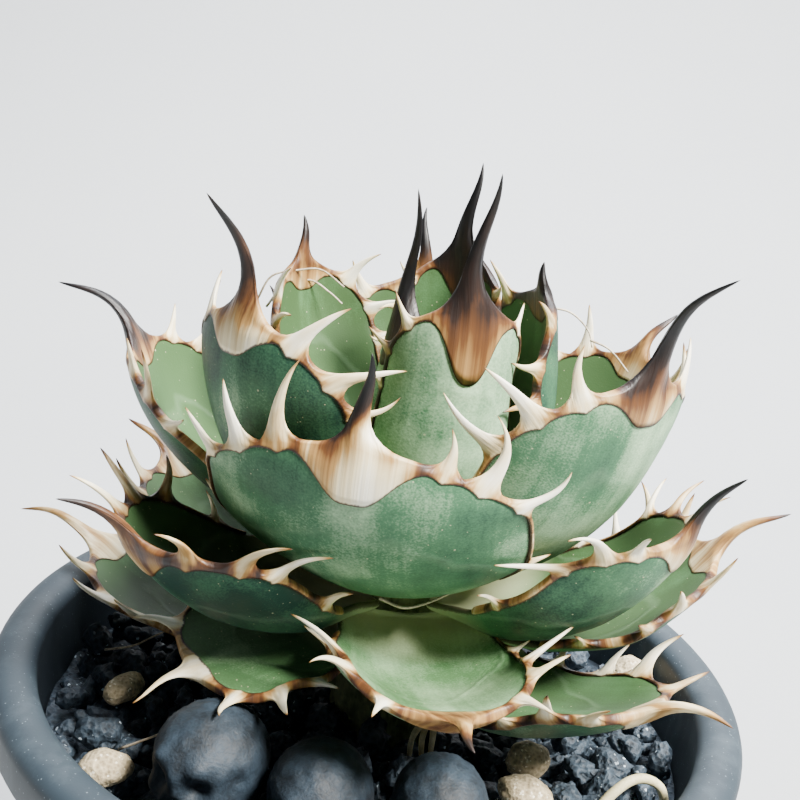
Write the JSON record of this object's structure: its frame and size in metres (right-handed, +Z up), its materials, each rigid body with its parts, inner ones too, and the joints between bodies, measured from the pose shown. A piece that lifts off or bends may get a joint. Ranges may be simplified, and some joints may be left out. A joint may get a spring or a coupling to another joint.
{
  "type": "potted agave titanota",
  "caption": "Potted agave: a rosette of thick, cupped leaves with hooked horny margins and long terminal spines, in a round pot dressed with lava gravel.",
  "frame": {"origin": "centre of the pot's foot, on the surface it stands on", "axes": "+Z up along the pot's axis, -Y towards the side that the picture shows"},
  "size_m": [0.1951, 0.1842, 0.2735],
  "materials": {
    "pot_plastic": "matte, dusty",
    "potting_mix": "loose bark and grit",
    "lava": "porous, rough",
    "stem": "fleshy",
    "leaf_flesh": "waxy bloom",
    "horn": "horny, weathered",
    "resin": "matte cast",
    "pumice": "rough",
    "dry_root": "dry, smooth"
  },
  "bodies": {
    "root": {"pot": "pot_plastic", "potting_mix": "potting_mix", "lava_gravel": "lava", "stem": "stem", "leaf_00": "leaf_flesh", "leaf_01": "leaf_flesh", "leaf_02": "leaf_flesh", "leaf_03": "leaf_flesh", "leaf_04": "leaf_flesh", "leaf_05": "leaf_flesh", "leaf_06": "leaf_flesh", "leaf_07": "leaf_flesh", "leaf_08": "leaf_flesh", "leaf_09": "leaf_flesh", "leaf_10": "leaf_flesh", "leaf_11": "leaf_flesh", "leaf_12": "leaf_flesh", "leaf_13": "leaf_flesh", "leaf_14": "leaf_flesh", "leaf_15": "leaf_flesh", "leaf_16": "leaf_flesh", "leaf_17": "leaf_flesh", "leaf_18": "leaf_flesh", "leaf_19": "leaf_flesh", "leaf_20": "leaf_flesh", "leaf_21": "leaf_flesh", "horn_00": "horn", "horn_01": "horn", "horn_02": "horn", "horn_03": "horn", "horn_04": "horn", "horn_05": "horn", "horn_06": "horn", "horn_07": "horn", "horn_08": "horn", "horn_09": "horn", "horn_10": "horn", "horn_11": "horn", "horn_12": "horn", "horn_13": "horn", "horn_14": "horn", "horn_15": "horn", "horn_16": "horn", "horn_17": "horn", "horn_18": "horn", "horn_19": "horn", "horn_20": "horn", "horn_21": "horn", "skull_ornament_1": "resin", "skull_ornament_2": "resin", "skull_ornament_3": "resin", "pale_pebble_1": "pumice", "pale_pebble_2": "pumice", "pale_pebble_3": "pumice", "pale_pebble_4": "pumice", "pale_pebble_5": "pumice", "dry_root": "dry_root"}
  },
  "joints": []
}
